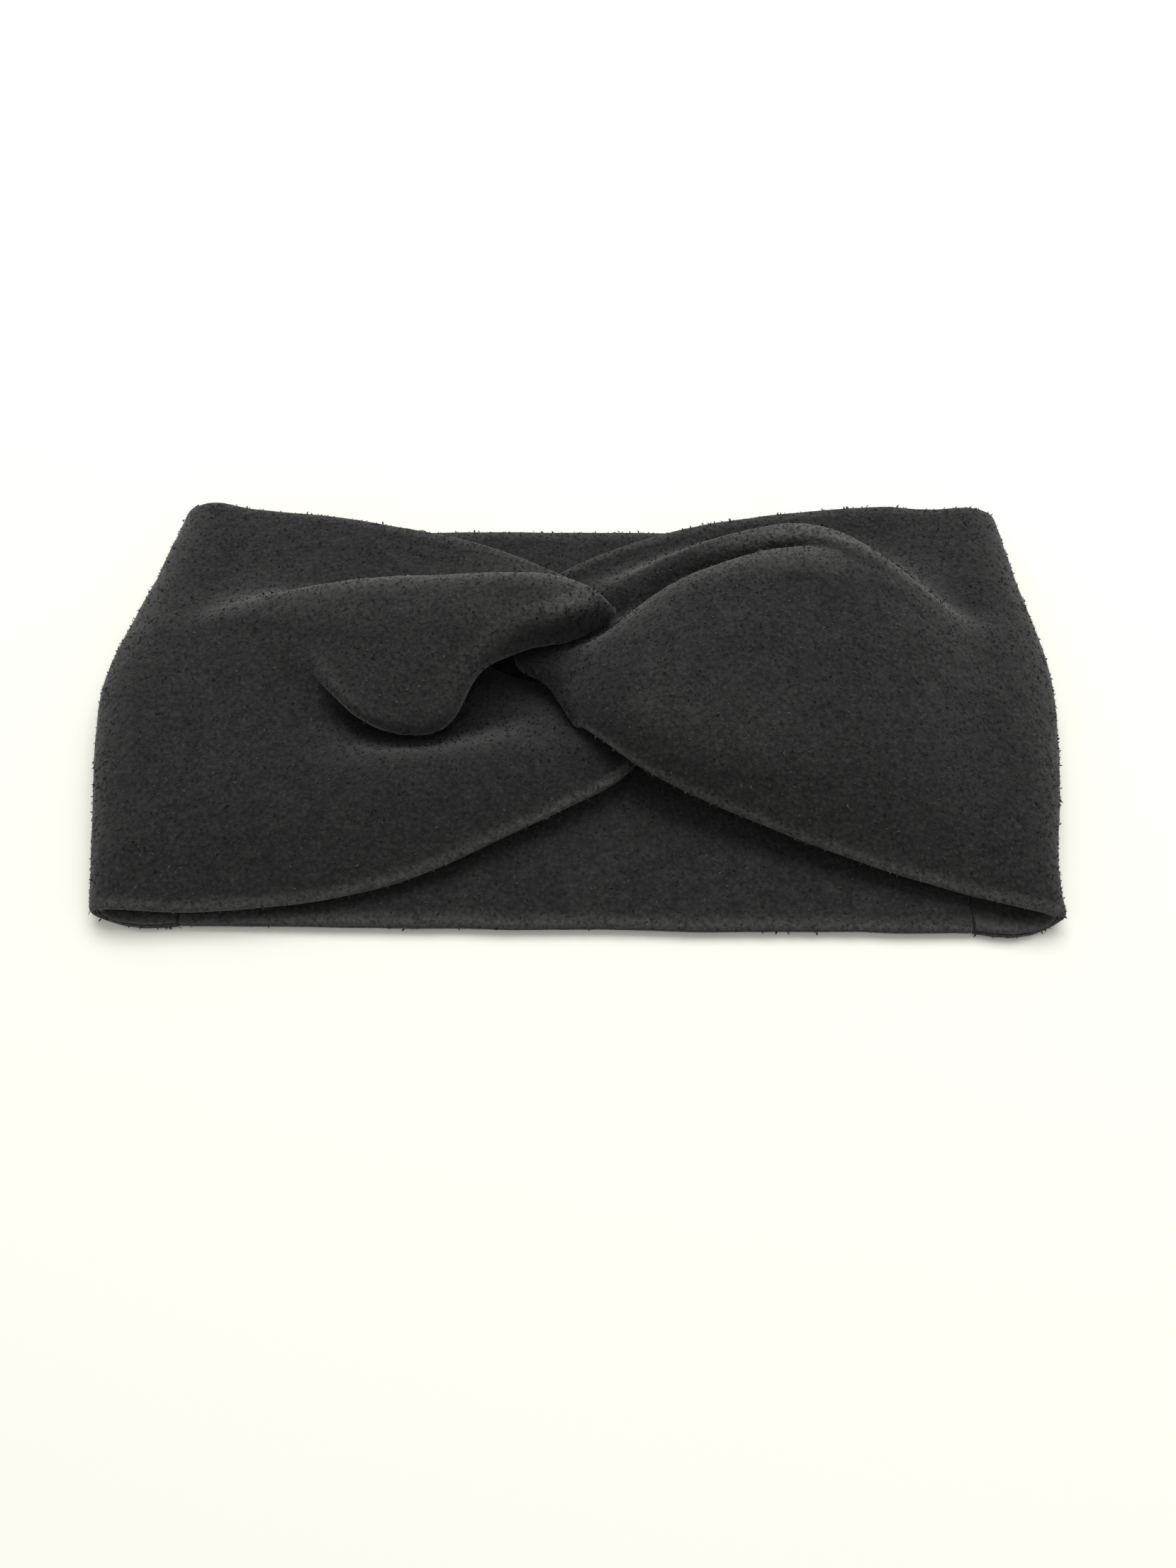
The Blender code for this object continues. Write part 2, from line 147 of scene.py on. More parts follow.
# Left strip, from the side fold to the knot. Each line is one crease or edge of the cloth.
# Near the knot the strip is folded in two: the lower half passes under the right strip, the
# upper half lies over it as a puffed lobe, and the hollow between them takes the right strip.
LEFT = (
    # bottom edge
    ((-115.5, -59.8, 7), (-101.5, -60.4, 6.6), (-85, -59.8, 6.5), (-68, -57.8, 6.7),
     (-51, -54.3, 7), (-36, -49.2, 7.7), (-22, -42.5, 8.6), (-9, -35.7, 9.2),
     (2, -29.5, 9.2), (12, -22.5, 8.5), (18, -14, 7.2)),
    # lower half, rolling gently
    ((-116.5, -45, 9.4), (-102, -45, 10.4), (-86, -44.5, 11.6), (-69, -43.5, 12.8),
     (-52, -41.5, 13.4), (-38, -38, 13.7), (-25, -33, 13.4), (-12, -27, 12.2),
     (-2, -22, 10.6), (8, -15, 8.7), (14, -8, 7.2)),
    # lip of the hollow
    ((-118.3, -28, 11.4), (-103, -28, 12.8), (-87, -27, 14.6), (-70, -25.5, 15.4),
     (-53, -24.2, 15.8), (-40, -23, 15.4), (-28, -20.3, 14), (-16, -16.5, 12),
     (-7, -12.5, 9.4), (2, -8, 7.7), (9, -3, 7)),
    # floor of the hollow, front
    ((-119.5, -18, 12.4), (-104, -17, 13.8), (-88, -15.5, 15), (-71, -15.5, 15.2),
     (-54, -16.5, 10.8), (-41, -16, 8.8), (-30, -13, 7.7), (-19, -10, 7.4),
     (-10, -6, 7.3), (-2, -3, 7.2), (4, 0, 7.1)),
    # floor of the hollow, back
    ((-120.3, -10, 12.6), (-104, -9, 14.4), (-88, -8.5, 15.5), (-71, -9.5, 15.2),
     (-54, -10, 9.6), (-42, -6.5, 8.2), (-33, -3.2, 7.6), (-27, -0.2, 7.4),
     (-23.5, 2.8, 7.4), (-21.3, 5.2, 7.4), (-20, 6.6, 7.4)),
    # back of the hollow
    ((-120.8, -3, 12.8), (-104, -2, 14.9), (-88, -2.5, 16), (-71, -4.4, 16.2),
     (-54, -5.5, 12.6), (-43, -2.2, 11.6), (-35.5, 3.2, 11.7), (-31, 6.2, 11.7),
     (-28.3, 8, 11.8), (-27, 9, 11.8), (-26.5, 9.5, 11.8)),
    # underside of the lobe
    ((-120.8, 3, 12.9), (-104, 4.5, 15.5), (-88, 2.5, 17), (-71, 0, 17.9),
     (-54, -7.4, 16.3), (-42, -9.8, 14.6), (-33.5, -5, 14.7), (-28.5, 3, 16),
     (-24.8, 7.4, 16.2), (-23, 9.8, 16.3), (-22, 11.2, 16.3)),
    # lower rim of the lobe
    ((-120.3, 9, 12.9), (-104, 9, 16), (-88, 7, 17.9), (-71, 3.5, 19.8),
     (-55, -11.4, 18.9), (-42, -15.3, 17.2), (-32.5, -11, 18), (-26.5, 1.5, 20.2),
     (-16.5, 8.5, 20.5), (-6.5, 12.5, 20), (-1, 14.5, 16.8)),
    # face of the lobe
    ((-119.5, 14, 12.8), (-104, 13, 16.2), (-88, 12.5, 18.8), (-71, 9.5, 22),
     (-55, -0.6, 23.8), (-42, -3.4, 24.2), (-33, 0.6, 25.4), (-24, 7.5, 26.9),
     (-13, 12.5, 26.5), (-2.5, 15.5, 23.5), (3, 17, 16.8)),
    # crest of the lobe
    ((-118.3, 19.5, 12.6), (-104, 16.5, 16.2), (-88, 17.8, 19.8), (-71, 18.8, 23.8),
     (-54, 17, 27), (-41, 15.5, 28.8), (-30, 16, 29.6), (-19, 17.5, 29.6),
     (-8, 19, 28.2), (2, 19.5, 24.5), (6.5, 19.5, 16.8)),
    # back of the crest
    ((-117, 25.5, 12.4), (-103.5, 21.5, 15), (-88, 22.8, 18), (-71, 24.3, 21.8),
     (-53, 25, 24.6), (-38.5, 24.5, 26.2), (-26, 24.5, 27), (-14, 25, 26.6),
     (-4, 25, 25.2), (4.5, 23, 21.8), (9, 21.5, 16.8)),
    # fold behind the crest
    ((-115.6, 32, 12.1), (-102.5, 28, 13.2), (-87.5, 28, 14.2), (-70.5, 27.4, 15.2),
     (-52, 26, 16.4), (-37.5, 25.6, 17.8), (-25, 25.6, 18.6), (-13, 26, 19),
     (-4, 26, 18.6), (4, 24.6, 17.4), (8.4, 23.2, 16.2)),
    # upper left panel
    ((-112.8, 46.5, 11.4), (-100, 43, 11.8), (-84.5, 41.5, 11.8), (-67.5, 38.5, 11.9),
     (-50, 35.5, 12.3), (-35.5, 33.6, 13.6), (-23, 33, 15.2), (-12, 31.2, 16),
     (-3.5, 29.2, 16.2), (3.2, 27.4, 16), (6.6, 26, 16)),
    # top edge
    ((-110.6, 62.3, 10.6), (-98, 60.9, 10.8), (-82, 58.7, 11), (-65, 56.2, 11.2),
     (-48, 52.6, 11.6), (-34, 48.4, 12.4), (-22, 43.4, 13.2), (-12, 38, 14),
     (-4, 33.2, 14.6), (1.2, 30.6, 15.4), (4, 29.2, 16)),
)

# Right strip, from the side fold to the knot: a broad lobe over the left strip's lower half,
# with one narrow pleat behind it, running under the left strip's upper half.
RIGHT = (
    # bottom edge
    ((116, -58.8, 7), (102, -55.4, 7.1), (87, -51, 7.8), (72, -46.4, 9),
     (57, -41, 10.4), (43, -35.5, 12), (29, -29.4, 13.8), (17.5, -23.4, 15.2),
     (9, -17.2, 15.2), (3, -12.1, 13.4), (0.5, -9.6, 11.6)),
    # lobe, low
    ((114.8, -46, 9.4), (103, -43, 11.6), (89, -39, 14.8), (74, -34.5, 17.7),
     (59, -30, 20), (44, -25.5, 21.8), (30, -20.5, 22.8), (17.5, -15, 22.6),
     (7.5, -9, 19.4), (0.8, -5.4, 14.4), (-3.8, -4, 11.2)),
    # lobe, middle
    ((116.3, -31, 11.2), (104, -28, 14.4), (90, -24, 19.5), (75, -19, 23.3),
     (60, -15, 25.6), (45, -11.5, 27), (31, -8, 27.2), (18, -4, 25.6),
     (7.5, -0.3, 20.8), (0, 0.8, 15), (-8.6, 2, 11.5)),
    # lobe, high
    ((118, -15, 12.2), (105, -11, 16.2), (91, -6, 21), (76, 0, 25.3),
     (61, 4, 27.8), (46, 6, 28.8), (32, 6.5, 28.4), (19.5, 7, 26.2),
     (9.5, 7.8, 21.6), (0.5, 7.8, 15), (-15.5, 7, 11.7)),
    # top of the lobe
    ((119.3, 0, 12.5), (105.5, 3, 16.8), (91.5, 9.5, 22), (76.5, 17.5, 26.7),
     (61, 21, 28.8), (46, 20.5, 29.2), (32, 18, 27.8), (20.5, 16, 25),
     (13, 15, 20.6), (5.5, 13.6, 13.8), (-17, 10.6, 11.5)),
    # front rim of the pleat
    ((119.2, 6, 12.6), (105.5, 8, 16.8), (91.5, 14.5, 22), (76, 23.5, 27),
     (60, 30.5, 28.8), (44.5, 29.8, 27.6), (30.5, 26, 25.2), (21, 22, 22),
     (15, 19.3, 17.6), (8, 17.4, 12.4), (-15, 14, 11.2)),
    # back of that rim
    ((119.1, 9, 12.5), (105.5, 10.5, 16.8), (91.5, 17.2, 22.2), (76, 27.2, 27.2),
     (60, 34, 26.4), (44.8, 32.8, 23.6), (31, 29, 21), (21.5, 25, 17.8),
     (15.5, 22, 14.4), (7.5, 20, 11), (-11, 17.4, 10.4)),
    # bottom of the pleat
    ((118.9, 12, 12.4), (105.5, 12.8, 16.6), (91.5, 20, 22.2), (76, 30.4, 27),
     (60.3, 36.8, 24.4), (45.2, 35.2, 19), (31.5, 31.8, 15.8), (21.5, 27.8, 13.4),
     (14.5, 24.8, 11.6), (5.5, 22.6, 10.2), (-11, 20.2, 9.9)),
    # rear rim of the pleat
    ((118.5, 16, 12.3), (105.5, 15.5, 16.2), (91.5, 23, 21.8), (76.3, 34, 26.6),
     (60.5, 41, 26.4), (46, 41.4, 23.4), (32, 39.3, 19.8), (20, 35.8, 16),
     (10, 32, 12.2), (1, 28.4, 10), (-11, 23.8, 9)),
    # back of that rim
    ((117.8, 23, 12), (105.3, 20, 14.6), (91.8, 26.8, 18.8), (77.2, 37.8, 22),
     (61.3, 45, 20.6), (46.2, 45.6, 18), (32, 43.8, 14.6), (19.5, 40.3, 11.8),
     (9, 36.5, 10), (0, 32.6, 8.9), (-11, 27.6, 8.3)),
    # upper right panel
    ((116, 38, 11.6), (104.5, 33.5, 12.4), (91.5, 37, 13.4), (77.3, 43.5, 14),
     (62, 49.8, 13.2), (46, 49.7, 12), (31, 47.8, 10.6), (18, 44.6, 9.4),
     (7.5, 40.8, 8.4), (-1.5, 36.3, 7.8), (-11, 31.2, 7.4)),
    # top edge
    ((113.8, 61.3, 10.6), (102.5, 61.1, 11), (89.5, 60.8, 11.8), (76, 60, 12.2),
     (61.5, 58.6, 12), (46, 56.6, 11.4), (31, 54, 10.6), (18, 50.6, 9.6),
     (7, 46.4, 8.8), (-3, 41.3, 8), (-12, 35.3, 7.4)),
)


def spline(knots, points, at):
    """Natural cubic spline through points (n, ...) at knots, read at the positions `at`."""
    count = len(knots)
    step = np.diff(knots)
    system = np.eye(count)
    right_side = np.zeros((count, points[0].size))
    flat = points.reshape(count, -1)
    for i in range(1, count - 1):
        system[i, i - 1:i + 2] = step[i - 1], 2 * (step[i - 1] + step[i]), step[i]
        rise = (flat[i + 1] - flat[i]) / step[i]
        fall = (flat[i] - flat[i - 1]) / step[i - 1]
        right_side[i] = 6 * (rise - fall)
    bend = np.linalg.solve(system, right_side)
    span = np.clip(np.searchsorted(knots, at, side="right") - 1, 0, count - 2)
    width = step[span][:, None]
    a = (knots[span + 1] - at)[:, None] / width
    b = 1 - a
    curve = a * flat[span] + b * flat[span + 1]
    curve += ((a ** 3 - a) * bend[span] + (b ** 3 - b) * bend[span + 1]) * width ** 2 / 6
    return curve.reshape((len(at),) + points.shape[1:])


def lengths(points):
    """Running length along a polyline."""
    return np.concatenate([[0.0], np.cumsum(np.linalg.norm(np.diff(points, axis=0), axis=1))])


def evenly(points, count):
    """Points at equal spacing along the smooth curve through the given points."""
    knots = lengths(points)
    fine = spline(knots, points, np.linspace(0, knots[-1], CURVE_SAMPLES * len(points)))
    run = lengths(fine)
    at = np.linspace(0, run[-1], count)
    return np.stack([np.interp(at, run, fine[:, axis]) for axis in range(3)], axis=1)


def with_side_fold(line):
    """Lead a strip's line round the side fold and back along the underside to the side seam."""
    x, y, z = line[0]
    side = np.sign(x)
    low, high = (LEFT if side < 0 else RIGHT)[0][0][1], (LEFT if side < 0 else RIGHT)[-1][0][1]
    under_y = BACK_BOTTOM + (y - low) / (high - low) * (BACK_TOP - BACK_BOTTOM)
    radius = (z - REST) / 2
    seam = (side * (SEAM_X + SEAM_GAP / 2), under_y, REST)
    flat = (x - side * UNDERLAP_X, under_y, REST)
    under = (x, (y + under_y) / 2, REST)
    fold = (x + side * radius * FOLD_BULGE, y, REST + radius)
    return [seam, flat, under, fold] + list(line)


def strip_middle(lines):
    """Middle surface of a doubled strip as a grid (columns along it, rows across it)."""
    lines = np.array([with_side_fold(line) for line in lines])
    spacing = np.linalg.norm(np.diff(lines, axis=1), axis=2).mean(axis=0)
    knots = np.concatenate([[0.0], np.cumsum(spacing)])
    at = [knots[:1]]
    for i, columns in enumerate(STRIP_COLUMNS):
        at.append(np.linspace(knots[i], knots[i + 1], columns + 1)[1:])
    rails = spline(knots, lines.transpose(1, 0, 2), np.concatenate(at))
    grid = np.stack([evenly(rail, STRIP_ROWS) for rail in rails])
    grid[..., 2] = np.maximum(grid[..., 2], REST)
    return grid


def back_middle():
    """Middle surface of the back panel: a flat rectangle between the side seams."""
    half = SEAM_X - SEAM_GAP / 2
    x = np.linspace(half, -half, BACK_COLUMNS)
    y = np.linspace(BACK_BOTTOM, BACK_TOP, BACK_ROWS)
    return np.stack(list(np.meshgrid(x, y, indexing="ij")) + [np.full((len(x), len(y)), REST)], axis=-1)


def relaxed(grid):
    """The grid with the soft, shallow unevenness of handled fleece.

    The movement depends only on the place in space, so neighbouring layers move together.
    """
    moved = grid.copy()
    for point in moved.reshape(-1, 3):
        rise = min(max((point[2] - REST) / RELAX_RISE, 0.0), 1.0)
        for wave, depth in RELAX_WAVES:
            point += depth * np.array(noise.noise_vector(Vector(point) / wave)) * (1.0, 1.0, rise)
    return moved


def unit(vectors):
    return vectors / np.linalg.norm(vectors, axis=-1, keepdims=True)


def frames(grid):
    """Directions along, across and out of a grid; the last one points to the band's outside."""
    along = unit(np.gradient(grid, axis=0))
    across = unit(np.gradient(grid, axis=1))
    outward = unit(np.cross(along, across))
    if grid[0, 0, 0] > 0 and grid[-1, 0, 0] < grid[0, 0, 0]:
        outward = -outward
    return along, across, outward


def border(grid, round_off):
    """Indices round the rim of a grid, and how far the rolled edge leads off the cloth at each."""
    columns, rows = grid.shape[:2]
    along, across, _ = frames(grid)
    loop = [(i, 0) for i in range(columns - 1)]
    loop += [(columns - 1, j) for j in range(rows - 1)]
    loop += [(i, rows - 1) for i in range(columns - 1, 0, -1)]
    loop += [(0, j) for j in range(rows - 1, 0, -1)]
    off = []
    for i, j in loop:
        way = along[i, j] * ((i == columns - 1) - (i == 0)) * END_ROUND
        way = way + across[i, j] * ((j == rows - 1) - (j == 0)) * round_off
        off.append(way)
    return loop, np.array(off)


def add_object(name, vertices, faces, material):
    """Smooth shaded mesh from coordinates in millimetres, in the CAD's frame."""
    mesh = bpy.data.meshes.new(name)
    mesh.from_pydata(((np.asarray(vertices) + SHIFT) * MM).tolist(), [], faces)
    mesh.shade_smooth()
    mesh.materials.append(material)
    piece = bpy.data.objects.new(name, mesh)
    bpy.context.scene.collection.objects.link(piece)
    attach(piece, "root")
    return piece


def ridge(surface):
    """How sharply each point of a grid stands out, from 0 on flat cloth to 1 on a crisp ridge."""
    out = frames(surface)[2]
    sharp = np.zeros(surface.shape[:2])
    for axis in (0, 1):
        step = np.gradient(surface, axis=axis)
        turn = np.gradient(out, axis=axis)
        sharp = np.maximum(sharp, (turn * step).sum(-1) / (step ** 2).sum(-1))
    return np.clip(sharp * RIDGE_RADIUS, 0.0, 1.0)


def add_layer(name, grid, side, round_off, material):
    """One layer of a doubled cloth: side +1 lies outside the middle surface, -1 inside."""
    columns, rows = grid.shape[:2]
    out = frames(grid)[2] * side
    loft = np.array([noise.noise(Vector(point) / LOFT_WAVE) for point in grid.reshape(-1, 3)])
    loft = LAYER + LOFT_DEPTH * loft.reshape(columns, rows)[..., None]
    near = grid + out * (LAYER_GAP / 2)
    far = near + out * loft
    loop, off = border(grid, round_off)
    start = np.array([near[at] for at in loop])
    end = np.array([far[at] for at in loop])
    rim = []
    for step in range(1, RIM_STEPS):
        turn = np.pi * step / RIM_STEPS
        rim.append((start + end) / 2 - np.cos(turn) * (end - start) / 2 + np.sin(turn) * off)
    vertices = np.concatenate([near.reshape(-1, 3), far.reshape(-1, 3)] + rim)
    size, around = columns * rows, len(loop)
    i, j = np.meshgrid(np.arange(columns - 1), np.arange(rows - 1), indexing="ij")
    a = (i * rows + j).ravel()
    sheet = np.stack([a, a + rows, a + rows + 1, a + 1], axis=1)
    edge = np.array([i * rows + j for i, j in loop])
    rings = [edge] + [2 * size + k * around + np.arange(around) for k in range(RIM_STEPS - 1)]
    rings.append(size + edge)
    bands = []
    for lower, upper in zip(rings, rings[1:]):
        bands.append(np.stack([np.roll(lower, -1), lower, upper, np.roll(upper, -1)], axis=1))
    faces = np.concatenate([sheet, size + sheet[:, ::-1]] + bands)
    flips = (side > 0) != (grid[0, 0, 0] > 0)
    faces = faces[:, ::-1] if flips else faces
    piece = add_object(name, vertices, faces.tolist(), material)
    # painted highlight: lighter along the long edges and rims, and on the proud ridges of an outside layer
    painted_highlight = np.zeros(len(vertices))
    inset = np.minimum(lengths(grid[columns // 2]), lengths(grid[columns // 2][::-1])[::-1])
    edge_highlight = np.tile(EDGE_HIGHLIGHT * np.exp(-(inset / EDGE_WIDTH) ** 2), (columns, 1))
    proud = np.clip((far[..., 2] - PROUD[0]) / (PROUD[1] - PROUD[0]), 0.0, 1.0)
    painted_highlight[size:2 * size] = np.maximum(edge_highlight, ridge(near) * proud * (side > 0)).ravel()
    painted_highlight[2 * size:] = np.tile([EDGE_HIGHLIGHT * (j in (0, rows - 1)) for _, j in loop], RIM_STEPS - 1)
    set_value(piece, "ridge", painted_highlight)
    return piece


def set_value(piece, name, values):
    """Store one number for each vertex of a piece, for its material and its pile."""
    piece.data.attributes.new(name, "FLOAT", "POINT").data.foreach_set("value", values)


def mark_painted_shade(cloths, shown, shape):
    """Painted shade: mark how much the folds close in each point of a strip's face, from 0 open to 1 hidden.
    """
    corners, faces = [], []
    for cloth in cloths:
        faces += [[len(corners) + k for k in face.vertices] for face in cloth.data.polygons]
        corners += [vertex.co for vertex in cloth.data.vertices]
    tree = BVHTree.FromPolygons(corners, faces)
    k = np.arange(SKY_RAYS) + 0.5
    up, around = 1 - k / SKY_RAYS, np.pi * (1 + 5 ** 0.5) * k
    flat = np.sqrt(1 - up ** 2)
    sky = [Vector(way) for way in np.stack([flat * np.cos(around), flat * np.sin(around), up], axis=1)]
    for cloth in shown:
        closed = np.ones(len(cloth.data.vertices))
        size = shape[0] * shape[1]
        for vertex in cloth.data.vertices[size:]:
            start = vertex.co + vertex.normal * MM * SKY_LIFT
            whole = open_sky = 1e-6
            for way in sky:
                share = way.dot(vertex.normal)
                if share > 0:
                    whole += share
                    if tree.ray_cast(start, way, SKY_REACH * MM)[0] is None:
                        open_sky += share
            closed[vertex.index] = 1 - open_sky / whole
        grid = closed[size:2 * size].reshape(shape)
        for _ in range(SKY_BLUR):
            wide = np.pad(grid, 1, mode="edge")
            grid = (wide[:-2, 1:-1] + wide[2:, 1:-1] + wide[1:-1, :-2] + wide[1:-1, 2:] + grid) / 5
        face = np.array([vertex.co for vertex in cloth.data.vertices])[size:2 * size].reshape(*shape, 3)
        left = lengths(face[::-1, shape[1] // 3])[::-1, None] / MM
        closed[size:2 * size] = np.maximum(grid, np.exp(-(left / KNOT_SHADE) ** 2)).ravel()
        set_value(cloth, "painted_shade", closed)


def add_nap(name, piece, counts, finishes):
    """Pile that stands off a cloth: thin leaning blades, rooted just inside its surface."""
    draw = np.random.default_rng(SEED + len(name))
    mesh = piece.data
    mesh.calc_loop_triangles()
    points = np.empty(len(mesh.vertices) * 3)
    mesh.vertices.foreach_get("co", points)
    points = points.reshape(-1, 3) / MM - SHIFT
    corner = np.empty(len(mesh.loop_triangles) * 3, dtype=np.int32)
    mesh.loop_triangles.foreach_get("vertices", corner)
    a, b, c = (points[corner.reshape(-1, 3)[:, k]] for k in range(3))
    cross = np.cross(b - a, c - a)
    area = np.linalg.norm(cross, axis=1)
    ridge_at, painted_shade_at = (np.zeros(len(points)) for _ in range(2))
    for values, key in ((ridge_at, "ridge"), (painted_shade_at, "painted_shade")):
        if key in mesh.attributes:
            mesh.attributes[key].data.foreach_get("value", values)
    blades, tones = [], []
    for (length, tilt, width), count in zip((HAIRS, LOCKS), counts):
        pick = draw.choice(len(area), count, p=area / area.sum())
        u, v = draw.random((2, count, 1))
        u, v = np.where(u + v > 1, 1 - u, u), np.where(u + v > 1, 1 - v, v)
        out = unit(cross[pick])
        lean = unit(np.cross(out, draw.normal(size=(count, 3))))
        angle = draw.uniform(*tilt, (count, 1))
        way = (out * np.cos(angle) + lean * np.sin(angle)) * draw.uniform(*length, (count, 1))
        side = np.cross(out, lean) * draw.uniform(width / 2, width, (count, 1)) / 2
        root = a[pick] + u * (b - a)[pick] + v * (c - a)[pick] - out * BLADE_ROOT
        waist = root + way * BLADE_WAIST
        blades.append(np.stack([root, waist + side, root + way, waist - side], axis=1).reshape(-1, 3))
        first = corner.reshape(-1, 3)[pick, 0]
        # a blade's tone varies at random, is lighter as painted highlight on ridges and edges, and darker as
        # painted shade in folds
        tone = draw.normal(*BLADE_TONE, count) + HIGHLIGHT_TONE * ridge_at[first]
        tone -= SHADE_TONE * np.clip(painted_shade_at[first], LEAST_PAINTED_SHADE, 1)
        tones.append(np.clip(np.round(tone), 0, len(finishes) - 1))
    blades = np.concatenate(blades)
    nap = add_object(name, blades, np.arange(len(blades)).reshape(-1, 4).tolist(), finishes[0])
    for finish in finishes[1:]:
        nap.data.materials.append(finish)
    nap.data.polygons.foreach_set("material_index", np.concatenate(tones).astype(np.int32))
    return nap


def add_cord(name, path, radius, material):
    """Twisted thread along a path."""
    count = int(lengths(path)[-1] / CORD_STEP) + 2
    path = evenly(path, count)
    along = unit(np.gradient(path, axis=0))
    first = unit(np.cross(along, CORD_REFERENCE))
    second = np.cross(along, first)
    turn = np.arange(CORD_SIDES) * 2 * np.pi / CORD_SIDES
    twist = 2 * np.pi * lengths(path) / CORD_TWIST
    ply = 1 - CORD_PLY * (0.5 + 0.5 * np.cos(2 * turn[None, :] - twist[:, None]))
    ring = np.cos(turn)[None, :, None] * first[:, None] + np.sin(turn)[None, :, None] * second[:, None]
    vertices = (path[:, None] + radius * ply[..., None] * ring).reshape(-1, 3)
    i, j = np.meshgrid(np.arange(count - 1), np.arange(CORD_SIDES), indexing="ij")
    a, b = (i * CORD_SIDES + j).ravel(), (i * CORD_SIDES + (j + 1) % CORD_SIDES).ravel()
    faces = np.stack([a, b, b + CORD_SIDES, a + CORD_SIDES], axis=1).tolist()
    faces += [list(range(CORD_SIDES))[::-1], list(range(len(vertices) - CORD_SIDES, len(vertices)))]
    return add_object(name, vertices, faces, material)


def edge_path(grid, row, tail):
    """Path of the thread in the groove between the two layers, along one long edge."""
    across = frames(grid)[1]
    columns = slice(0, len(grid) - tail)
    return grid[columns, row] + across[columns, row] * (CORD_OUT if row else -CORD_OUT)


def side_path(x):
    return np.array([(x, y, REST) for y in
                     np.linspace(BACK_BOTTOM + SEAM_CORD_INSET, BACK_TOP - SEAM_CORD_INSET, BACK_ROWS)])


class Graph:
    """Small helper that adds and links shader nodes."""

    def __init__(self, name):
        self.material = bpy.data.materials.new(name)
        self.material.use_nodes = True
        self.tree = self.material.node_tree
        self.surface = self.tree.nodes["Principled BSDF"]

    def add(self, kind, inputs=None, **settings):
        node = self.tree.nodes.new(kind)
        for key, value in settings.items():
            setattr(node, key, value)
        for key, value in (inputs or {}).items():
            if isinstance(value, bpy.types.NodeSocket):
                self.tree.links.new(value, node.inputs[key])
            else:
                node.inputs[key].default_value = value
        return node

    def set(self, **values):
        for key, value in values.items():
            socket = self.surface.inputs[key.replace("_", " ")]
            if isinstance(value, bpy.types.NodeSocket):
                self.tree.links.new(value, socket)
            else:
                socket.default_value = value

    def noise(self, place, per_metre, detail, rough, bend=0.0):
        node = self.add("ShaderNodeTexNoise", {
            "Vector": place, "Scale": per_metre, "Detail": detail, "Roughness": rough, "Distortion": bend})
        return node.outputs["Fac"]

    def maths(self, operation, a, b):
        return self.add("ShaderNodeMath", {0: a, 1: b}, operation=operation).outputs[0]

    def stretch(self, value, low, high, to_low, to_high):
        node = self.add("ShaderNodeMapRange", {
            "Value": value, "From Min": low, "From Max": high, "To Min": to_low, "To Max": to_high})
        return node.outputs["Result"]

    def blend(self, share, a, b, how="MIX"):
        node = self.add("ShaderNodeMix", data_type="RGBA", blend_type=how)
        for key, value in ((0, share), (6, a), (7, b)):
            if isinstance(value, bpy.types.NodeSocket):
                self.tree.links.new(value, node.inputs[key])
            else:
                node.inputs[key].default_value = value
        return node.outputs[2]


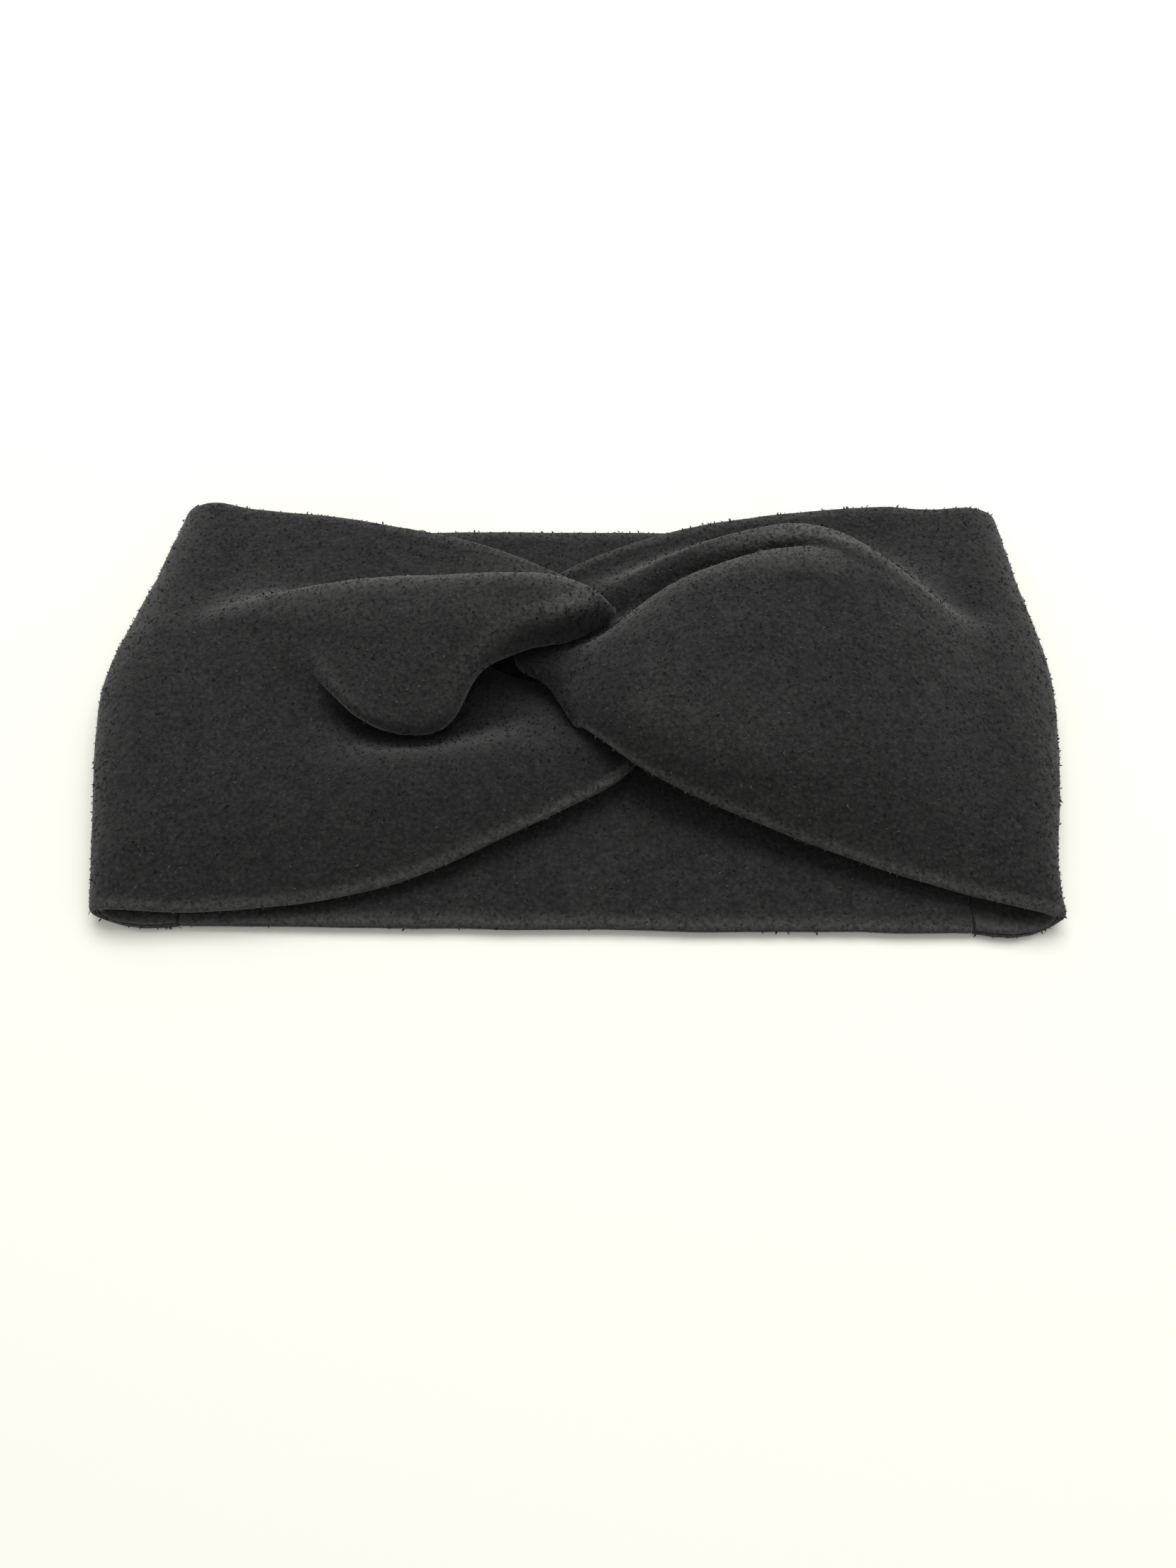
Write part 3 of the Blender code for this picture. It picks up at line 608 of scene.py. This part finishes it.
def fleece_material(name, dark, light, highlight_colour):
    """Brushed fleece: clumped pile, mottled dye, dark pits between tufts, painted shade in folds, painted
    highlight on ridges and edges, painted sheen at grazing angles.
    """
    graph = Graph(name)
    place = graph.add("ShaderNodeTexCoord").outputs["Object"]
    clump = graph.noise(place, 900.0, 2.0, 0.6, 0.3)
    tuft = graph.noise(place, 2300.0, 2.0, 0.6, 0.2)
    mottle = graph.noise(place, 210.0, 3.0, 0.6)
    patch = graph.noise(place, 36.0, 2.0, 0.5)
    pits = graph.add("ShaderNodeTexVoronoi", {"Vector": place, "Scale": 820.0, "Randomness": 1.0},
                     feature="F1").outputs["Distance"]
    ridge_share = graph.add("ShaderNodeAttribute", attribute_name="ridge").outputs["Fac"]

    share = graph.stretch(clump, 0.3, 0.7, 0.15, 0.85)
    colour = graph.blend(share, dark, light)
    dye = graph.maths("ADD", graph.stretch(mottle, 0.3, 0.7, 0.78, 1.2),
                      graph.stretch(patch, 0.3, 0.7, -0.07, 0.07))
    grain = graph.maths("MULTIPLY", dye, graph.stretch(tuft, 0.25, 0.75, 0.78, 1.22))
    grain = graph.maths("MULTIPLY", grain, graph.stretch(pits, 0.1, 0.75, 1.12, 0.66))
    # painted shade: darker where folds close the cloth in and near a strip's end in the knot
    painted_shade = graph.add("ShaderNodeAttribute", attribute_name="painted_shade").outputs["Fac"]
    grain = graph.maths("MULTIPLY", grain, graph.stretch(painted_shade, *PAINTED_SHADE_RANGE, 1.0, 1 - PAINTED_SHADE_DEPTH))
    tone = graph.add("ShaderNodeCombineXYZ", {0: grain, 1: grain, 2: grain}).outputs[0]
    colour = graph.blend(1.0, colour, tone, "MULTIPLY")
    # painted highlight on ridges and edges, and painted sheen towards the silhouettes
    painted_highlight = graph.maths("MULTIPLY", ridge_share, graph.stretch(clump, 0.3, 0.62, 0.3, 0.9))
    facing = graph.add("ShaderNodeLayerWeight", {"Blend": 0.35}).outputs["Facing"]
    painted_sheen = graph.maths("MULTIPLY", facing, graph.maths("MULTIPLY", facing, 1.3))
    painted_highlight = graph.maths("MAXIMUM", painted_highlight, painted_sheen)
    colour = graph.blend(painted_highlight, colour, highlight_colour)

    height = graph.maths("ADD", clump, graph.maths("MULTIPLY", tuft, 0.35))
    height = graph.maths("SUBTRACT", height, graph.maths("MULTIPLY", pits, 0.45))
    bump = graph.add("ShaderNodeBump", {"Strength": 0.75, "Distance": 0.0007, "Height": height})
    graph.set(Base_Color=colour, Normal=bump.outputs["Normal"],
              Roughness=graph.stretch(clump, 0.3, 0.7, 1.0, 0.88))
    graph.set(Sheen_Weight=SHEEN, Sheen_Roughness=0.45, Sheen_Tint=(0.9, 0.92, 0.95, 1.0),
              Specular_IOR_Level=0.15)
    return graph.material


def thread_material():
    """Matt spun polyester thread."""
    graph = Graph("thread_finish")
    place = graph.add("ShaderNodeTexCoord").outputs["Object"]
    spun = graph.noise(place, 2600.0, 2.0, 0.6, 0.3)
    colour = graph.blend(graph.stretch(spun, 0.3, 0.7, 0.0, 1.0), THREAD_DARK, THREAD_LIGHT)
    bump = graph.add("ShaderNodeBump", {"Strength": 0.4, "Distance": 0.0002, "Height": spun})
    graph.set(Base_Color=colour, Normal=bump.outputs["Normal"],
              Roughness=graph.stretch(spun, 0.3, 0.7, 0.6, 0.8))
    graph.set(Sheen_Weight=0.1, Specular_IOR_Level=0.3)
    return graph.material


def plain_material(name, colour, roughness):
    graph = Graph(name)
    graph.set(Base_Color=colour, Roughness=roughness, Specular_IOR_Level=0.1)
    return graph.material


def add_camera():
    """Stands close in front of the band and looks steeply down at it."""
    pitch, yaw, roll = (np.radians(angle) for angle in (CAMERA_PITCH, CAMERA_YAW, CAMERA_ROLL))
    ahead = np.array([np.sin(yaw) * np.cos(pitch), np.cos(yaw) * np.cos(pitch), -np.sin(pitch)])
    right = np.array([np.cos(yaw), -np.sin(yaw), 0.0])
    up = np.cross(right, ahead)
    right, up = np.cos(roll) * right + np.sin(roll) * up, np.cos(roll) * up - np.sin(roll) * right
    data = bpy.data.cameras.new("camera")
    data.sensor_fit = "VERTICAL"
    data.sensor_height = CAMERA_FILM
    data.lens = CAMERA_LENS
    camera = bpy.data.objects.new("camera", data)
    place = (np.array(CAMERA_PLACE) + SHIFT) * MM
    frame_rows = np.vstack([np.column_stack([right, up, -ahead, place]), [0, 0, 0, 1]])
    camera.matrix_world = Matrix(frame_rows.tolist())
    bpy.context.scene.collection.objects.link(camera)
    bpy.context.scene.camera = camera


def add_light(name, place, size, power, colour):
    data = bpy.data.lights.new(name, "AREA")
    data.shape = "RECTANGLE"
    data.size, data.size_y = size
    data.energy = power
    data.color = colour
    light = bpy.data.objects.new(name, data)
    light.location = place
    light.rotation_euler = (-Vector(place)).to_track_quat("-Z", "Y").to_euler()
    bpy.context.scene.collection.objects.link(light)


def add_studio():
    """A plain white table top under soft light from above and behind."""
    corners = [(-FLOOR, -FLOOR, 0), (FLOOR, -FLOOR, 0), (FLOOR, FLOOR, 0), (-FLOOR, FLOOR, 0)]
    floor = add_object("floor", corners, [[0, 1, 2, 3]], plain_material("white_table", FLOOR_COLOUR, 0.9))
    for name, place, size, power, colour in LIGHTS:
        add_light(name, place, size, power, colour)
    world = bpy.data.worlds.new("studio")
    world.use_nodes = True
    sky = world.node_tree.nodes["Background"]
    sky.inputs["Color"].default_value = SKY_COLOUR
    sky.inputs["Strength"].default_value = SKY_POWER
    scene = bpy.context.scene
    scene.world = world
    scene.view_settings.view_transform = "Standard"


def stand_in(piece, node):
    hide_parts(node)
    return piece


noise.seed_set(SEED)        # noise_vector reads its offsets from this seed
low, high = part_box("back_panel_outer")
SHIFT = (np.array(low) + np.array(high)) / 2 / MM - [0.0, (BACK_BOTTOM + BACK_TOP) / 2, 0.0]
SHIFT[2] = 0.0

outer_finish = fleece_material("fleece_outer_finish", FLEECE_DARK, FLEECE_LIGHT, FLEECE_PAINTED_HIGHLIGHT)
inner_finish = fleece_material("fleece_inner_finish", LINING_DARK, LINING_LIGHT, FLEECE_PAINTED_HIGHLIGHT)
nap_finishes = [plain_material(f"nap_finish_{tone}", colour, 1.0) for tone, colour in enumerate(NAP_COLOURS)]
thread_finish = thread_material()

cloths, threads = {}, {}
for panel, (middle, outside, tail) in {
    "back_panel": (relaxed(back_middle()), -1, 0),
    "left_strip": (relaxed(strip_middle(LEFT)), 1, STRIP_SEAM_TAIL),
    "right_strip": (relaxed(strip_middle(RIGHT)), 1, STRIP_SEAM_TAIL),
}.items():
    threads[panel] = [
        stand_in(add_cord(f"{panel}_{edge}_thread", edge_path(middle, row, tail), CORD_RADIUS, thread_finish),
                 f"{panel}_{edge}_seam")
        for edge, row in (("bottom", 0), ("top", -1))]
    for face, side, finish in (("outer", outside, outer_finish), ("inner", -outside, inner_finish)):
        node = f"{panel}_{face}"
        rolled = OUTER_ROUND if side > 0 else INNER_ROUND
        cloth = add_layer(node + "_cloth", middle, side, rolled, finish)
        cloths[node] = stand_in(cloth, node)

strip_shape = (sum(STRIP_COLUMNS) + 1, STRIP_ROWS)
mark_painted_shade(cloths.values(), [cloths["left_strip_outer"], cloths["right_strip_outer"]], strip_shape)

for node, cloth in cloths.items():
    panel, face = node.rsplit("_", 1)
    is_back = panel == "back_panel"
    shows = (face == "inner") == is_back
    nap = add_nap(node + "_nap", cloth, SEEN_NAP if shows else HIDDEN_NAP, nap_finishes)

for side, x in (("left", -SEAM_X), ("right", SEAM_X)):
    side_thread = add_cord(side + "_side_thread", side_path(x), CORD_RADIUS, thread_finish)
    stand_in(side_thread, side + "_side_seam")
knot_thread = add_cord("knot_thread", np.array(KNOT_SEAM), KNOT_CORD_RADIUS, thread_finish)
stand_in(knot_thread, "knot_seam")

add_studio()
add_camera()
